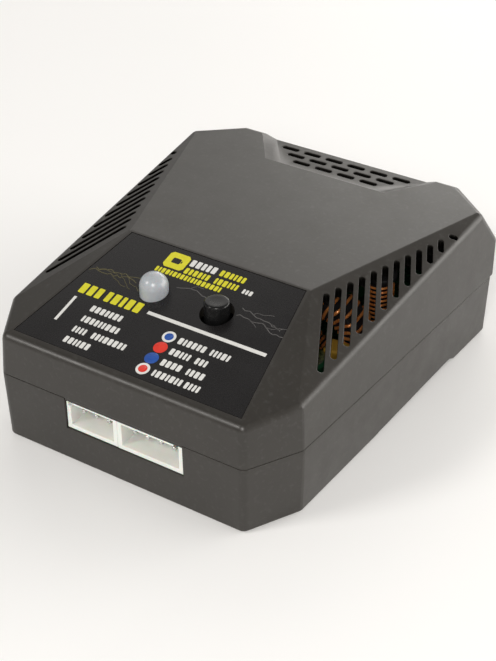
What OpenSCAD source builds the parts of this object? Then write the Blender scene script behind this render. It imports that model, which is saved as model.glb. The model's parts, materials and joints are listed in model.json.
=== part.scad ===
// Balance battery charger: a faceted two-part vented case with a printed
// status panel, a status light, a push button, two balance sockets in the
// front wall and a mains inlet in the rear wall.
// Units are millimetres. +Z is up, the balance sockets face -Y and the inlet
// faces +Y. The origin is under the middle of the case, on the surface it
// stands on. The seam and the roof fall slightly towards the rear.

/* [Case outline] */
// Overall length, front face to rear face
case_l = 77; // [76.5:0.1:78]
// Half width of the flat front face, at the seam
front_hw = 23; // [22.6:0.1:23.4]
// Half width where the front chamfers meet the sides
shoulder_hw = 28.1; // [27.7:0.1:28.5]
// Distance of that corner behind the front face
shoulder_d = 9.1; // [8.8:0.1:9.5]
// Half width at the rear, where the case is widest
rear_hw = 31.1; // [30.8:0.1:31.4]
// Distance from the front face to the rear chamfers
rear_d = 71.5; // [71:0.1:72]
// Half width of the flat rear face
tail_hw = 24.7; // [24.3:0.1:25.1]
// How far the upper shell overhangs the tray at the rear
rear_lip = 1; // [0.6:0.1:1.2]
// Radius of the rounded corners and creases
edge_r = 1.5; // [1.2:0.1:1.7]
// Wall thickness of both shells
wall = 1.8; // [1.6:0.1:2]

/* [Heights] */
// Height of the seam at the front face
seam_z = 12.8; // [12.6:0.1:13]
// Fall of the seam towards the rear, in mm per mm
seam_fall = 0.0135; // [0.012:0.0005:0.015]
// Height of the crease above the front face
brow_z = 20.3; // [20.1:0.1:20.5]
// Height of the crease at the front chamfers' rear corners
shoulder_z = 20.8; // [20.6:0.1:21]
// Height of the roof at its front edge
roof_z = 27.1; // [27:0.1:27.3]
// Fall of the roof towards the rear, in mm per mm
roof_fall = 0.011; // [0.01:0.0005:0.0125]
// Height where the rear walls turn into the sloping tail facets
tail_z = 19; // [18.8:0.1:19.3]
// Draft of the tray walls, in mm over their height
tray_draft = 0.28; // [0.2:0.02:0.34]
// Draft of the upper walls, in mm over their height
top_draft = 0.32; // [0.24:0.02:0.36]
// Top surface of the tray floor
floor_z = 3.2; // [3:0.1:3.4]
// Greatest height of the underside between the front edge and the rear sill
belly_z = 1.3; // [1:0.1:1.4]

/* [Roof] */
// Half width of the roof at its front edge
roof_front_hw = 17.6; // [17.4:0.1:17.9]
// Distance of the roof's front edge behind the front face
roof_front_d = 28.6; // [28.3:0.1:28.9]
// Half width of the roof where it reaches the side walls
roof_side_hw = 30.3; // [30.1:0.1:30.5]
// Distance of that point behind the front face
roof_side_d = 65.4; // [65:0.1:65.8]
// Half width of the roof's rear edge
roof_tail_hw = 22.1; // [21.8:0.1:22.4]
// Distance of the roof's rear edge behind the front face
roof_tail_d = 72.5; // [72.2:0.1:72.7]

/* [Vents] */
// Number of slots in each side facet
side_slots = 12; // [10:1:12]
// Width of every vent slot
slot_w = 1; // [0.8:0.1:1.2]
// Spacing of the slots in the rear pocket, across and along the case
pocket_pitch = [4.65, 2];
// Length of the slots in the rear pocket
pocket_slot_l = 3.5; // [3:0.1:3.7]
// Height of the rear pocket's floor
pocket_z = 25.3; // [25.2:0.1:25.5]
// Front corner of that floor: half width, and distance behind the front face
pocket_foot = [9.8, 64.9];
// Angle of the floor's sides away from the case's length
pocket_splay = 36; // [34:1:38]
// Rise of the pocket's front wall and of its side walls above level
pocket_rise = [42, 26];

/* [Status panel] */
// Half width of the panel at its lower and upper edges
panel_hw = [21.4, 16.9];
// Distance of those edges up the slope from the front crease
panel_s = [1.8, 28.6];
// Panel thickness
panel_t = 0.15; // [0.1:0.05:0.2]
// Depth of the panel's recess
panel_recess = 0.2; // [0.15:0.05:0.3]
// Status light centre, across the case and behind the front face
led_at = [-5.5, 18.3];
// Status light diameter
led_d = 4.8; // [4.8:0.1:5]
// Height of the status light's tip
led_top = 28; // [27.9:0.1:28.4]
// Button centre, across the case and behind the front face
button_at = [6.5, 18.4];
// Button cap diameter
button_d = 4.2; // [4:0.1:4.4]
// Diameter of the hole round the button
button_hole_d = 5.6; // [5.4:0.1:5.8]
// Height of the button's top
button_top = 26.9; // [26.6:0.1:27.2]
// Button travel
button_travel = 0.3; // [0.2:0.05:0.4]

/* [Balance sockets] */
// Middle of the socket opening, across the case
socket_x = 0.8; // [0.6:0.1:1]
// Pitch of the contacts
pin_pitch = 2.5; // [2.5:0.01:2.54]
// Width of a socket beyond its contact pitches
socket_margin = 4.9; // [4.8:0.1:5]
// Underside and top of the sockets
socket_z = [6.9, 12.2];
// Depth of a socket body
socket_l = 10.8; // [10:0.1:11.5]
// Thickness of a socket's shroud
shroud_t = 0.8; // [0.7:0.05:0.9]
// Thickness of its upper wall
shroud_top_t = 0.45; // [0.4:0.05:0.6]

/* [Mains inlet] */
// Height of the inlet's axis
inlet_z = 13; // [12.8:0.1:13.1]
// Distance between its two contact pins
inlet_pitch = 8.6; // [8.4:0.1:8.8]
// Diameter of each contact pin
inlet_pin_d = 2.4; // [2.3:0.1:2.5]
// Width and height of the inlet's cavity
inlet_hollow = [16, 8];
// Depth of the inlet's cavity
inlet_deep = 9.5; // [9:0.1:10]
// Width, depth and height of the inlet body
inlet_size = [20, 13, 11.4];

/* [Circuit board] */
// Underside of the board
board_z = 5.3; // [5.2:0.05:5.3]
// Board thickness
board_t = 1.6; // [1.5:0.1:1.6]
// Ring choke centre: across, along and up
ring_at = [17.8, -3.8, 15.7];
// Ring choke outer radius, inner radius and half thickness of the core
ring_core = [7, 4, 2.6];
// Thickness of the winding on the ring
ring_wire = 0.8; // [0.6:0.1:0.9]
// Line filter choke centre, across and along the case
choke_at = [21.9, 5.8];
// Height of the line filter choke
choke_h = 16.6; // [14:0.2:16.6]
// Transformer centre, across and along the case
trafo_at = [-2, 6];
// Transformer core: width, depth and height
trafo_size = [20, 16, 16];

/* [Hidden] */
$fn = 48;
y0 = -case_l / 2;
board_top = board_z + board_t;
roof_rear_z = roof_z - roof_fall * (roof_tail_d - roof_front_d);
roof_side_z = roof_z - roof_fall * (roof_side_d - roof_front_d);
panel_a = atan2(roof_z - brow_z, roof_front_d - top_draft);
screw_at = [[22, -30.5], [24.4, 27.5]];
// Printed rows, listed as distances up the slope, and the bars in each row
row_s = [11, 8.55, 6.1, 3.7];
row_h = 1.3;
row_words = [[0, -12.7, -6.5], [1, -12.7, -5.6], [2, -12.7, -9.7], [2, -9, -2.6], [3, -12.7, -7.3],
             [0, 4.3, 9.6], [0, 10.2, 13.6], [1, 4.3, 8.4], [1, 9, 11.5],
             [2, 4.3, 8.4], [2, 9, 12.2], [3, 4.3, 9.6], [3, 10.2, 13.3]];
dot_x = 2.44;
dot_r = [0.75, 1.15];

// Height of the seam a distance d behind the front face
function seam(d) = seam_z - seam_fall * d;
// Height of the sloping panel a distance d behind the front face
function slope_z(d) = brow_z + (d - top_draft) * tan(panel_a);
// Outward unit normal of the plane through three points
function normal3(a, b, c) = cross(b - a, c - a) / norm(cross(b - a, c - a));
// Centre of a ball of radius r that touches three planes meeting at p
function tuck(p, a, b, c, r) =
    p - r * (cross(b, c) + cross(c, a) + cross(a, b)) / (a * cross(b, c));
// A point given by half width, distance behind the front face and height
function at(x, d, z) = [x, y0 + d, z];
// The same point on the other side
function flip(p) = [-p[0], p[1], p[2]];
// Both sides of a list of points, as a closed outline
function both(p) = [for (q = p) [q[0], q[1]], for (i = [len(p) - 1:-1:0]) [-p[i][0], p[i][1]]];

// Corners of the case on the +X side
s_front = at(front_hw, 0, seam(0));
s_shoulder = at(shoulder_hw, shoulder_d, seam(shoulder_d));
s_rear = at(rear_hw, rear_d, seam(rear_d));
s_tail = at(tail_hw, case_l, seam(case_l));
t_brow = at(front_hw - top_draft, top_draft, brow_z);
t_shoulder = at(shoulder_hw - top_draft - 0.05, shoulder_d + top_draft / 2, shoulder_z);
t_roof = at(roof_front_hw, roof_front_d, roof_z);
t_side = at(roof_side_hw, roof_side_d, roof_side_z);
t_edge = at(roof_tail_hw, roof_tail_d, roof_rear_z);
t_rear = at(rear_hw - 0.1, rear_d + 0.15, tail_z);
t_tail = at(tail_hw - 0.1, case_l - 0.1, tail_z);
b_front = at(front_hw - tray_draft / 2, tray_draft, 0);
b_shoulder = at(shoulder_hw - tray_draft, shoulder_d + tray_draft / 2, 0);
b_rear = at(rear_hw - tray_draft, rear_d - rear_lip, 0);
b_tail = at(tail_hw - tray_draft / 2, case_l - rear_lip - tray_draft, 0);

// Outward normals of the case's faces
n_front = normal3(flip(s_front), s_front, t_brow);
n_chamfer = normal3(s_front, s_shoulder, t_brow);
n_side = normal3(s_shoulder, s_rear, t_shoulder);
n_panel = normal3(flip(t_brow), t_brow, t_roof);
n_roof = normal3(flip(t_roof), t_roof, t_side);
n_vent = normal3(t_shoulder, t_side, t_roof);
n_heel = normal3(t_side, t_rear, t_edge);
n_slant = normal3(t_edge, t_tail, flip(t_edge));
n_corner = normal3(s_rear, s_tail, t_rear);
n_rear = normal3(s_tail, flip(s_tail), t_tail);
up = [0, 0, 1];

// Everything above (or below) the sloping seam
module above_seam(gap = 0) {
    translate([0, y0, seam_z + gap])
        rotate([-atan(seam_fall), 0, 0])
            translate([-60, -20, 0])
                cube([120, 140, 60]);
}

module below_seam(gap = 0) {
    translate([0, y0, seam_z - gap])
        rotate([-atan(seam_fall), 0, 0])
            translate([-60, -20, -60])
                cube([120, 140, 60]);
}

// Balls at a list of points, on both sides
module balls(points, r) {
    for (p = points, side = [1, -1])
        translate([side * p[0], p[1], p[2]])
            sphere(r = r, $fn = 28);
}

// Upright rounded corners at a list of points, on both sides
module posts(points, r, z1, z2, r1) {
    for (p = points, side = [1, -1])
        translate([side * p[0], p[1], z1])
            cylinder(h = z2 - z1, r1 = r1, r2 = r, $fn = 28);
}

// Outline of the case at the seam, moved inwards by t
function seam_outline(t, lip) = both([
    [front_hw - 0.55 * t, y0 + t],
    [shoulder_hw - t, y0 + shoulder_d + 0.5 * t],
    [rear_hw - t, y0 + rear_d - lip - 0.4 * t],
    [tail_hw - 0.4 * t, y0 + case_l - lip - t]]);

// Straight slot from a to b, cut along Z, with ends a touch rounder than its width
module slot(a, b, w, z1, z2) {
    translate([0, 0, z1])
        linear_extrude(height = z2 - z1) {
            for (p = [a, b])
                translate(p)
                    circle(d = w, $fn = 20);
            translate(a)
                rotate(atan2(b[1] - a[1], b[0] - a[0]))
                    translate([0, -0.49 * w])
                        square([max(norm(b - a), 0.01), 0.98 * w]);
        }
}

// Screw positions on both sides
module at_screws() {
    for (p = screw_at, side = [1, -1])
        translate([side * p[0], p[1], 0])
            children();
}

// Solid outer form of the upper shell
module top_form() {
    r = edge_r;
    hull() {
        balls([tuck(t_brow, n_front, n_chamfer, n_panel, r),
               tuck(t_shoulder, n_chamfer, n_side, n_vent, r),
               tuck(t_roof, n_panel, n_vent, n_roof, r),
               tuck(t_side, n_side, n_roof, n_heel, r),
               tuck(t_edge, n_roof, n_heel, n_slant, r),
               tuck(t_rear, n_side, n_heel, n_corner, r),
               tuck(t_tail, n_slant, n_corner, n_rear, r)], r);
        posts([tuck(s_front, n_front, n_chamfer, up, r),
               tuck(s_shoulder, n_chamfer, n_side, up, r),
               tuck(s_rear, n_side, n_corner, up, r),
               tuck(s_tail, n_corner, n_rear, up, r)], r, seam_z - 3, seam_z, r);
    }
}

// Hollow of the upper shell, one wall thickness inside its faces
module top_hollow() {
    r = 0.4;
    t = wall + r;
    difference() {
        hull() {
            balls([tuck(t_brow, n_front, n_chamfer, n_panel, t),
                   tuck(t_shoulder, n_chamfer, n_side, n_vent, t),
                   tuck(t_roof, n_panel, n_vent, n_roof, t),
                   tuck(t_side, n_side, n_roof, n_heel, t),
                   tuck(t_edge, n_roof, n_heel, n_slant, t),
                   tuck(t_rear, n_side, n_heel, n_corner, t),
                   tuck(t_tail, n_slant, n_corner, n_rear, t)], r);
            translate([0, 0, 9])
                linear_extrude(height = 1)
                    polygon(seam_outline(wall, 0));
        }
        translate([-17.5, y0 + 63.5, pocket_z - 1.6])
            cube([35, 20, 10]);
    }
}

// Everything above a plane that rises from a foot line through p
module above_plane(p, heading, pitch) {
    translate(p)
        rotate(heading)
            rotate([pitch, 0, 0])
                translate([-60, -60, 0])
                    cube([120, 120, 30]);
}

// Shallow pocket in the rear of the roof, with sloping walls, open to the rear
module pocket() {
    foot = [pocket_foot[0], y0 + pocket_foot[1], pocket_z];
    intersection() {
        translate([-40, foot[1] - 20, pocket_z])
            cube([80, 60, 10]);
        above_plane(foot, 180, pocket_rise[0]);
        above_plane(foot, 270 - pocket_splay, pocket_rise[1]);
        above_plane(flip(foot), 90 + pocket_splay, pocket_rise[1]);
    }
}

// Vent slots of both side facets, shortest at the rear
module side_vents() {
    for (i = [0:side_slots - 1]) {
        a = [19.8 + 0.785 * i, y0 + 29.6 + 2.5 * i];
        b = a + (i < side_slots - 1 ? (14.3 - 1.245 * i) * [0.447, -0.894] : [0.5, 0.25]);
        slot(a, b, slot_w, 14, 30);
        slot([-a[0], a[1]], [-b[0], b[1]], slot_w, 14, 30);
    }
}

// Vent slots in the floor of the rear pocket, in three rows
module pocket_vents() {
    for (row = [0:2], i = [0:5 - row]) {
        x = (i - (5 - row) / 2) * pocket_pitch[0];
        y = y0 + 71.4 - row * pocket_pitch[1];
        half = (pocket_slot_l - slot_w) / 2;
        slot([x - half, y], [x + half, y], slot_w, 20, 27);
    }
}

module tray_form() {
    r = edge_r;
    lip = [0, -rear_lip, 0];
    hull() {
        posts([tuck(s_front, n_front, n_chamfer, up, r),
               tuck(s_shoulder, n_chamfer, n_side, up, r),
               tuck(s_rear, n_side, n_corner, up, r) + lip,
               tuck(s_tail, n_corner, n_rear, up, r) + lip],
              r, seam(case_l), seam_z + 1, r);
        posts([tuck(b_front, n_front, n_chamfer, up, r),
               tuck(b_shoulder, n_chamfer, n_side, up, r),
               tuck(b_rear, n_side, n_corner, up, r),
               tuck(b_tail, n_corner, n_rear, up, r)], r, 0, 0.5, r - 0.5);
    }
}

// Underside relief between the front edge and the rear sill
module belly() {
    translate([50, 0, 0])
        rotate([90, 0, -90])
            linear_extrude(height = 100)
                polygon([[-y0 - shoulder_d, -0.01], [-y0 - 57, belly_z], [-y0 - 59.6, -0.01]]);
}

// Opening for the mains inlet, shared by both shells
module inlet_gap() {
    translate([-inlet_size[0] / 2 - 0.1, y0 + case_l - 8, inlet_z - inlet_size[2] / 2 - 0.1])
        cube([inlet_size[0] + 0.2, 12, inlet_size[2] + 0.2]);
}

module base_shell() {
    color([0.10, 0.10, 0.10])
        difference() {
            union() {
                difference() {
                    intersection() {
                        tray_form();
                        below_seam();
                    }
                    translate([0, 0, floor_z])
                        linear_extrude(height = 20)
                            polygon(seam_outline(wall + 0.2, rear_lip));
                    belly();
                }
                // Locating rim that reaches up inside the upper shell
                difference() {
                    intersection() {
                        translate([0, 0, 8.6])
                            linear_extrude(height = 6)
                                polygon(seam_outline(wall + 0.1, rear_lip));
                        below_seam(-1.2);
                    }
                    translate([0, 0, 8])
                        linear_extrude(height = 8)
                            polygon(seam_outline(wall + 1, rear_lip));
                    intersection() {
                        at_screws()
                            cylinder(h = 20, r = 3.1);
                        above_seam();
                    }
                }
                // Screw posts with wide feet, and board rests
                intersection() {
                    at_screws()
                        translate([0, 0, 1.6]) {
                            cylinder(h = 14, r = 2.9);
                            cylinder(h = 3.6, r = 3.6);
                        }
                    below_seam();
                }
                for (p = [[15.5, -31], [24, 0], [14, 32], [12.5, -6]], side = [1, -1])
                    translate([side * p[0], p[1], floor_z - 0.5])
                        cylinder(h = board_z - floor_z + 0.5, r = 1.6);
            }
            // Notch for the two balance sockets
            translate([socket_x - 11.25, y0 - 2, socket_z[0] - 0.1])
                cube([22.5, 8, 12]);
            inlet_gap();
            at_screws() {
                translate([0, 0, -1])
                    cylinder(h = 6, r = 2.6);
                cylinder(h = 20, r = 1.6);
            }
        }
}

module top_shell() {
    color([0.10, 0.10, 0.10])
        difference() {
            union() {
                difference() {
                    intersection() {
                        top_form();
                        above_seam(0.05);
                    }
                    top_hollow();
                }
                // Tongue that closes the top of the socket opening
                translate([socket_x - 11.2, y0 + 0.05, socket_z[1] + 0.1])
                    cube([22.4, wall, seam_z + 1 - socket_z[1]]);
                // Screw posts hang from the roof
                intersection() {
                    at_screws()
                        translate([0, 0, 10])
                            cylinder(h = 15.6, r = 2.9);
                    above_seam(0.05);
                    on_slope(-1)
                        translate([-50, -20, -40])
                            cube([100, 120, 40]);
                }
            }
            pocket();
            side_vents();
            pocket_vents();
            inlet_gap();
            on_slope(0)
                translate([0, 0, -panel_recess])
                    linear_extrude(height = 2)
                        panel_outline(0.1);
            translate([led_at[0], y0 + led_at[1], 15])
                cylinder(h = 15, d = led_d + 0.2);
            translate([button_at[0], y0 + button_at[1], 15])
                cylinder(h = 15, d = button_hole_d);
            at_screws()
                translate([0, 0, 5])
                    cylinder(h = 14, r = 1.3);
        }
}

// Frame of the sloping panel: X across, Y up the slope, Z out of it
module on_slope(lift) {
    translate([0, y0 + top_draft, brow_z])
        rotate([panel_a, 0, 0])
            translate([0, 0, lift])
                children();
}

module panel_outline(grow) {
    lo = panel_s[0] - grow;
    hi = panel_s[1] + grow;
    a = panel_hw[0] + grow;
    b = panel_hw[1] + grow;
    polygon([[-a, lo], [a, lo], [b, hi], [-b, hi]]);
}

module status_panel() {
    color([0.09, 0.09, 0.10])
        difference() {
            on_slope(-panel_recess)
                linear_extrude(height = panel_t)
                    panel_outline(0);
            translate([led_at[0], y0 + led_at[1], 15])
                cylinder(h = 15, d = led_d + 0.2);
            translate([button_at[0], y0 + button_at[1], 15])
                cylinder(h = 15, d = button_hole_d);
        }
}

// A printed layer, 0.05 thick, flush with the slope
module printed() {
    on_slope(-panel_recess + panel_t)
        linear_extrude(height = panel_recess - panel_t)
            children();
}

// Printed bar from x1 to x2, centred on s up the slope
module bar(x1, x2, s, h) {
    translate([x1, s - h / 2])
        square([x2 - x1, h]);
}

// White print: rules, rows of plain bars, and rings round two of the dots
module print_white() {
    color([0.92, 0.92, 0.92])
        printed() {
            bar(-3.7, 18.3, 14.05, 0.66);
            bar(-16.9, -16.4, 9.3, 5.7);
            for (w = row_words)
                bar(w[1], w[2], row_s[w[0]], row_h);
            bar(-3.5, 1.6, 26.5, 1.5);
            bar(7.7, 9.9, 24.4, 1);
            for (i = [0, 3])
                translate([dot_x, row_s[i]])
                    difference() {
                        circle(r = dot_r[1]);
                        circle(r = dot_r[0]);
                    }
        }
}

// Yellow print: heading bars, a battery sign and a band below it
module print_yellow() {
    color([0.90, 0.84, 0.10])
        printed() {
            bar(-17.1, -12.9, 14.25, 2.2);
            bar(-12, -4.5, 14.25, 2.2);
            bar(2.2, 6.9, 26.5, 1.3);
            bar(-3.5, 1.7, 24.6, 1.3);
            bar(2.3, 7.2, 24.6, 1.3);
            bar(-8.3, 4.9, 23.1, 1.1);
            difference() {
                bar(-7.9, -3.95, 25.85, 3.5);
                bar(-7.2, -4.95, 25.85, 1.6);
                bar(-4.96, -4.6, 25.85, 0.8);
            }
        }
}

module print_red() {
    color([0.85, 0.20, 0.14])
        printed() {
            translate([dot_x, row_s[1]]) circle(r = dot_r[1]);
            translate([dot_x, row_s[3]]) circle(r = dot_r[0]);
        }
}

module print_blue() {
    color([0.12, 0.35, 0.72])
        printed() {
            translate([dot_x, row_s[0]]) circle(r = dot_r[0]);
            translate([dot_x, row_s[2]]) circle(r = dot_r[1]);
        }
}

// Milky round status light with a flange
module status_led() {
    r = led_d / 2;
    color([0.80, 0.80, 0.82])
        translate([led_at[0], y0 + led_at[1], led_top - 8.7])
            rotate_extrude()
                union() {
                    square([r + 0.4, 1]);
                    square([r, 8.7 - r]);
                    intersection() {
                        translate([0, 8.7 - r])
                            circle(r = r);
                        translate([0, 8.7 - r - 0.1])
                            square([r, r + 0.2]);
                    }
                }
}

module led_leads() {
    color([0.72, 0.72, 0.70])
        for (side = [-1.27, 1.27])
            translate([led_at[0] + side - 0.25, y0 + led_at[1] - 0.25, board_z - 0.9])
                cube([0.5, 0.5, led_top - 8.7 - board_z + 0.9]);
}

// Width of a socket with the given number of contacts
function socket_w(ways) = (ways - 1) * pin_pitch + socket_margin;
// Middle of each socket; the two stand side by side
function socket_mid(ways) =
    let (total = socket_w(3) + socket_w(4) + 0.06)
    socket_x + (ways == 3 ? -total / 2 + socket_w(3) / 2 : total / 2 - socket_w(4) / 2);
function pin_x(ways, i) = socket_mid(ways) + (i - (ways - 1) / 2) * pin_pitch;
pin_z = socket_z[0] + 3.3;
socket_back = y0 + 0.3 + socket_l;

module socket(ways) {
    w = socket_w(ways);
    x1 = socket_mid(ways) - w / 2;
    h = socket_z[1] - socket_z[0];
    difference() {
        translate([x1, y0 + 0.3, socket_z[0]])
            cube([w, socket_l - 3, h]);
        translate([x1 + shroud_t, y0, socket_z[0] + shroud_t])
            cube([w - 2 * shroud_t, 7.1, h - shroud_t - shroud_top_t]);
        // Keying slit in the upper wall, at the outer end
        translate([ways == 3 ? x1 + 0.35 : x1 + w - 1.75, y0, socket_z[1] - 1])
            cube([0.85, 4.5, 2]);
        for (i = [0:ways - 1])
            translate([pin_x(ways, i) - 0.33, y0 + 5, pin_z - 0.33])
                cube([0.66, 8, 0.66]);
    }
    // Rear skirt down to the board, one rib at each end
    for (x = [x1, x1 + w - 1])
        translate([x, y0 + 0.2 + socket_l - 3, socket_z[0]])
            cube([1, 3.1, 3.5]);
}

// Angled square contacts: forward into the shroud, down through the board
module contacts(ways) {
    for (i = [0:ways - 1])
        translate([pin_x(ways, i) - 0.32, 0, 0]) {
            translate([0, y0 + 1.4, pin_z - 0.32])
                cube([0.64, socket_l - 1.9, 0.64]);
            translate([0, y0 + socket_l - 1.14, board_z - 1.2])
                cube([0.64, 0.64, pin_z - board_z + 1.52]);
        }
}

module socket_3way() {
    color([0.93, 0.93, 0.92]) socket(3);
}

module socket_4way() {
    color([0.93, 0.93, 0.92]) socket(4);
}

module contacts_3way() {
    color([0.78, 0.78, 0.76]) contacts(3);
}

module contacts_4way() {
    color([0.78, 0.78, 0.76]) contacts(4);
}

switch_top = board_top + 3.6;

// Tall key top that passes through the panel
module button_cap() {
    r = button_d / 2;
    color([0.16, 0.16, 0.16])
        translate([button_at[0], y0 + button_at[1], 0])
            difference() {
                translate([0, 0, 15])
                    rotate_extrude()
                        polygon([[0, 0], [r, 0], [r, button_top - 15.3], [r - 0.3, button_top - 15],
                                 [0, button_top - 15]]);
                translate([0, 0, 14])
                    cylinder(h = 6.02, r = 1.62);
            }
}

module switch_plunger() {
    color([0.05, 0.05, 0.05])
        translate([button_at[0], y0 + button_at[1], board_top + 1.6])
            cylinder(h = 20 - board_top - 1.6, r = 1.6);
}

module switch_body() {
    color([0.08, 0.08, 0.08])
        translate([button_at[0], y0 + button_at[1], board_top])
            difference() {
                translate([-3, -3, 0])
                    cube([6, 6, 3.4]);
                translate([0, 0, 1])
                    cylinder(h = 4, r = 1.65);
            }
}

module switch_cover() {
    color([0.70, 0.70, 0.70])
        translate([button_at[0], y0 + button_at[1], board_top + 3.4])
            difference() {
                translate([-3, -3, 0])
                    cube([6, 6, 0.2]);
                translate([0, 0, -1])
                    cylinder(h = 3, r = 1.9);
            }
}

module switch_legs() {
    color([0.72, 0.72, 0.70])
        for (sx = [-1, 1], sy = [-1, 1])
            translate([button_at[0] + sx * 3.25 - 0.15, y0 + button_at[1] + sy * 2.25 - 0.35, board_z - 1])
                cube([0.3, 0.7, 4]);
}

// Two-pole mains inlet: a figure-8 hollow with two round contact pins
module inlet_body() {
    w = inlet_hollow[0];
    h = inlet_hollow[1];
    color([0.07, 0.07, 0.07])
        translate([0, y0 + case_l - 0.3, inlet_z])
            rotate([90, 0, 0])
                difference() {
                    translate([-inlet_size[0] / 2, -inlet_size[2] / 2, 0])
                        cube([inlet_size[0], inlet_size[2], inlet_size[1]]);
                    translate([0, 0, -1])
                        linear_extrude(height = inlet_deep + 1) {
                            translate([-(w - h) / 2, 0])
                                circle(d = h);
                            translate([(w - h) / 2, 0])
                                circle(d = h);
                            translate([-(w - h) / 2, -h / 2 + 0.5])
                                square([w - h, h - 1]);
                        }
                    for (side = [-1, 1])
                        translate([side * inlet_pitch / 2, 0, 5])
                            cylinder(h = 20, d = inlet_pin_d + 0.54);
                }
}

module inlet_pins() {
    r = inlet_pin_d / 2;
    color([0.80, 0.80, 0.78])
        for (side = [-1, 1])
            translate([side * inlet_pitch / 2, y0 + case_l - 1.5, inlet_z]) {
                // Free length of 8 with a chamfered tip, then a thicker anchor in the body
                rotate([90, 0, 0])
                    rotate_extrude()
                        polygon([[0, 0], [r - 0.3, 0], [r, 0.3], [r, inlet_deep - 1.2],
                                 [r + 0.25, inlet_deep - 1.2], [r + 0.25, 14], [0, 14]]);
                translate([-0.6, -13.8, -inlet_z + board_z - 1])
                    cube([1.2, 0.9, inlet_z - board_z + 1]);
            }
}

module circuit_board() {
    color([0.10, 0.32, 0.16])
        difference() {
            translate([0, 0, board_z])
                linear_extrude(height = board_t)
                    polygon(both([[17.6, y0 + 3.2], [17.6, y0 + 12.2], [25, y0 + 12.2],
                                  [27, y0 + 62], [20.2, y0 + 62], [20.2, y0 + 72.6]]));
            // Holes for every lead that passes through the board
            contacts(3);
            contacts(4);
            led_leads();
            switch_legs();
            inlet_pins();
            transformer_pins();
            bridge_legs();
            disc_legs();
            transistor_legs();
        }
}

// Ferrite core: two E halves standing on the bobbin's base
module transformer_core() {
    w = trafo_size[0];
    d = 5;
    h = trafo_size[2];
    color([0.20, 0.20, 0.21])
        translate([trafo_at[0] - w / 2, trafo_at[1] - d / 2, board_top + 1])
            difference() {
                cube([w, d, h]);
                for (x = [3, w / 2 + 2.4])
                    translate([x, -1, 3])
                        cube([w / 2 - 5.4, d + 2, h - 6]);
            }
}

module transformer_bobbin() {
    color([0.12, 0.12, 0.12])
        translate([trafo_at[0], trafo_at[1], board_top])
            difference() {
                union() {
                    translate([-8, -trafo_size[1] / 2, 0])
                        cube([16, trafo_size[1], 0.98]);
                    for (z = [4.1, 13.1])
                        translate([-6.9, -6.5, z])
                            cube([13.8, 13, 0.8]);
                    translate([-3.2, -3.3, 4.1])
                        cube([6.4, 6.6, 9.8]);
                    for (y = [-trafo_size[1] / 2, trafo_size[1] / 2 - 1.5])
                        translate([-8, y, 0.9])
                            cube([16, 1.5, 2.1]);
                    for (x = [-5.5, 4.5], y = [-trafo_size[1] / 2, trafo_size[1] / 2 - 1.5])
                        translate([x, y, 2.9])
                            cube([1, 1.5, 1.3]);
                    for (x = [-5.5, 4.5], y = [-trafo_size[1] / 2, 5])
                        translate([x, y, 4.1])
                            cube([1, 3, 0.8]);
                }
                translate([-2.41, -2.52, 2])
                    cube([4.82, 5.04, 20]);
            }
}

// Yellow tape round the winding
module transformer_tape() {
    color([0.85, 0.66, 0.12])
        translate([trafo_at[0], trafo_at[1], board_top + 4.9])
            difference() {
                translate([-6.4, -6.1, 0])
                    cube([12.8, 12.2, 8.2]);
                translate([-3.2, -3.3, -1])
                    cube([6.4, 6.6, 12]);
            }
}

module transformer_pins() {
    color([0.72, 0.72, 0.70])
        for (x = [-6, -2, 2, 6], y = [-7.4, 7.4])
            translate([trafo_at[0] + x, trafo_at[1] + y, board_z - 0.8])
                cylinder(h = board_t + 0.8, r = 0.3, $fn = 16);
}

// Upright ring core, its axis along the case
module ring_core() {
    color([0.15, 0.16, 0.18])
        translate(ring_at)
            rotate([90, 0, 0])
                difference() {
                    translate([0, 0, -ring_core[2]])
                        cylinder(h = 2 * ring_core[2], r = ring_core[0]);
                    cylinder(h = 20, r = ring_core[1], center = true);
                }
}

// Copper winding wrapped round the whole ring
module ring_winding() {
    o = ring_core[0] + ring_wire;
    i = ring_core[1] - ring_wire;
    d = ring_core[2] + ring_wire;
    color([0.72, 0.35, 0.14])
        translate(ring_at)
            rotate([90, 0, 0])
                difference() {
                    translate([0, 0, -d])
                        cylinder(h = 2 * d, r = o);
                    cylinder(h = 20, r = i, center = true);
                    difference() {
                        translate([0, 0, -ring_core[2]])
                            cylinder(h = 2 * ring_core[2], r = ring_core[0]);
                        cylinder(h = 20, r = ring_core[1], center = true);
                    }
                }
}

// Plastic saddle under the ring
module ring_base() {
    color([0.08, 0.08, 0.08])
        difference() {
            translate([ring_at[0] - 5, ring_at[1] - 3.8, board_top])
                cube([10, 7.6, 4]);
            translate(ring_at)
                rotate([90, 0, 0])
                    cylinder(h = 2 * (ring_core[2] + ring_wire) + 0.1,
                             r = ring_core[0] + ring_wire + 0.02, center = true);
        }
}

module upright_can(at, r, h) {
    translate([at[0], at[1], board_top])
        rotate_extrude()
            polygon([[0, 0], [r - 0.3, 0], [r, 0.3], [r, 1.6], [r - 0.35, 1.9], [r, 2.2],
                     [r, h - 0.4], [r - 0.4, h], [r - 1, h], [r - 1, h - 0.2], [0, h - 0.2]]);
}

module bulk_capacitor() {
    color([0.12, 0.10, 0.22])
        upright_can([-19.6, 15.5], 6.2, 16);
}

module output_capacitors() {
    color([0.10, 0.30, 0.20]) {
        upright_can([20.2, -16.6], 3.8, 12.5);
        upright_can([14.2, -11.9], 3.1, 11);
    }
}

// Boxed film capacitor
module film_capacitor() {
    color([0.88, 0.68, 0.16])
        translate([21.4, -12.6, board_top])
            cube([3.6, 3.4, 12.1]);
}

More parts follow.
